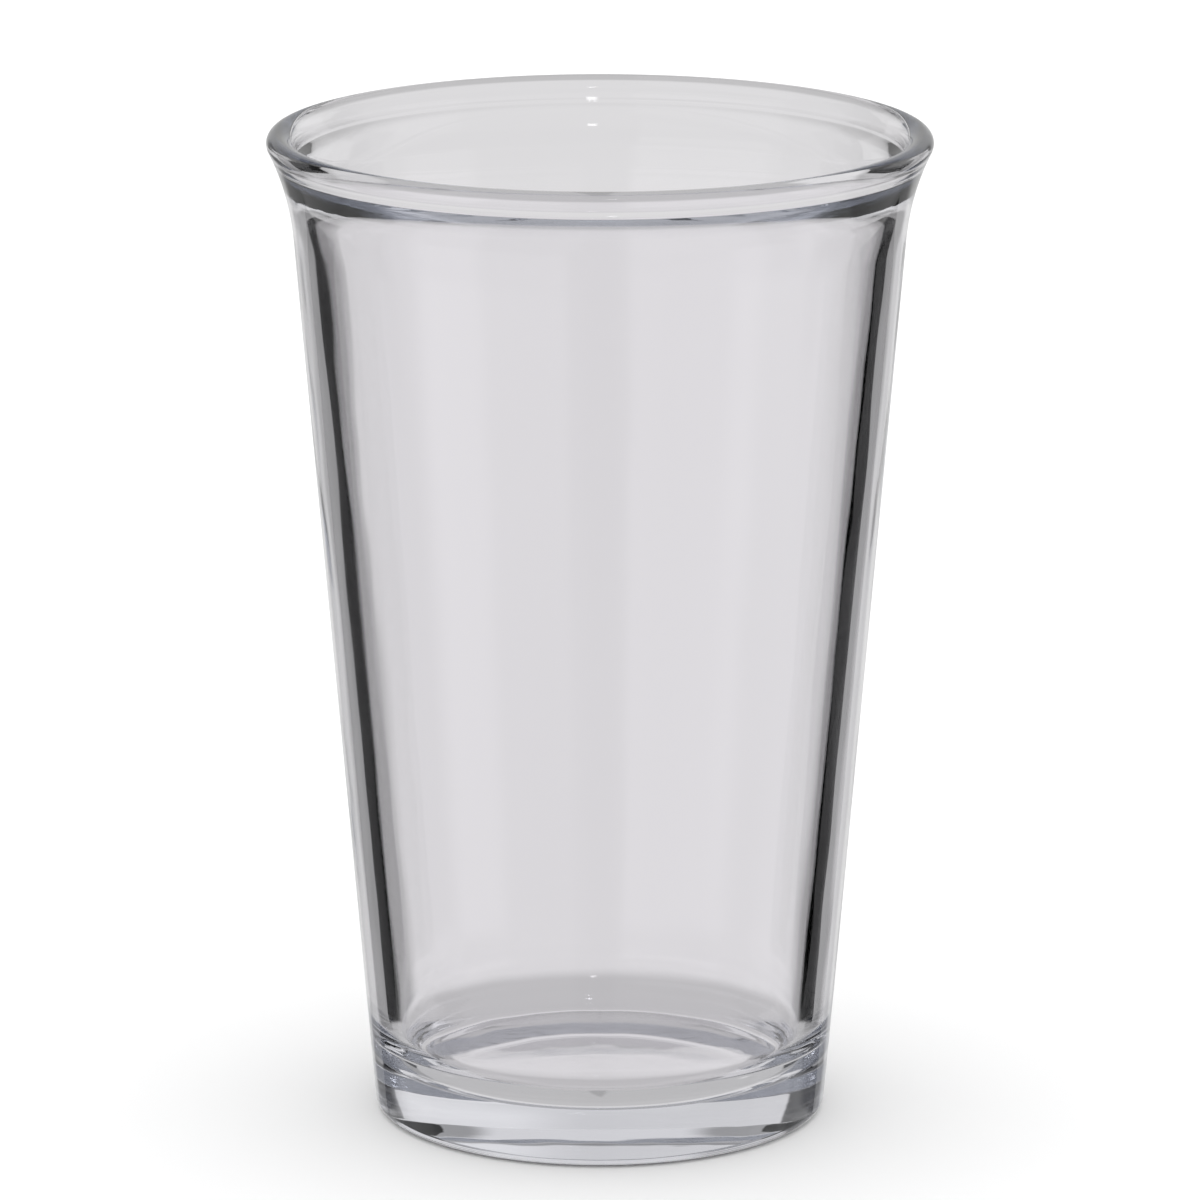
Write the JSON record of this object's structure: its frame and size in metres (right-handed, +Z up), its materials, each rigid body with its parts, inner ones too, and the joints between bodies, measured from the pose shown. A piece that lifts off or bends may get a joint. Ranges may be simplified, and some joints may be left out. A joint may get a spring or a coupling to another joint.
{
  "type": "pint glass",
  "caption": "Tapered clear drinking tumbler with heavy walls, a flared lip that ends in a rounded bead, a thick floor and a flat foot ring to stand on.",
  "frame": {"origin": "centre of the foot's standing plane, on the glass's axis", "axes": "+Z up the glass's axis from the foot to the lip; the glass is round, so X and Y are free"},
  "size_m": [0.0918, 0.0916, 0.139],
  "materials": {
    "clear_glass": "clear, polished"
  },
  "bodies": {
    "root": {"tumbler": "clear_glass"}
  },
  "joints": []
}
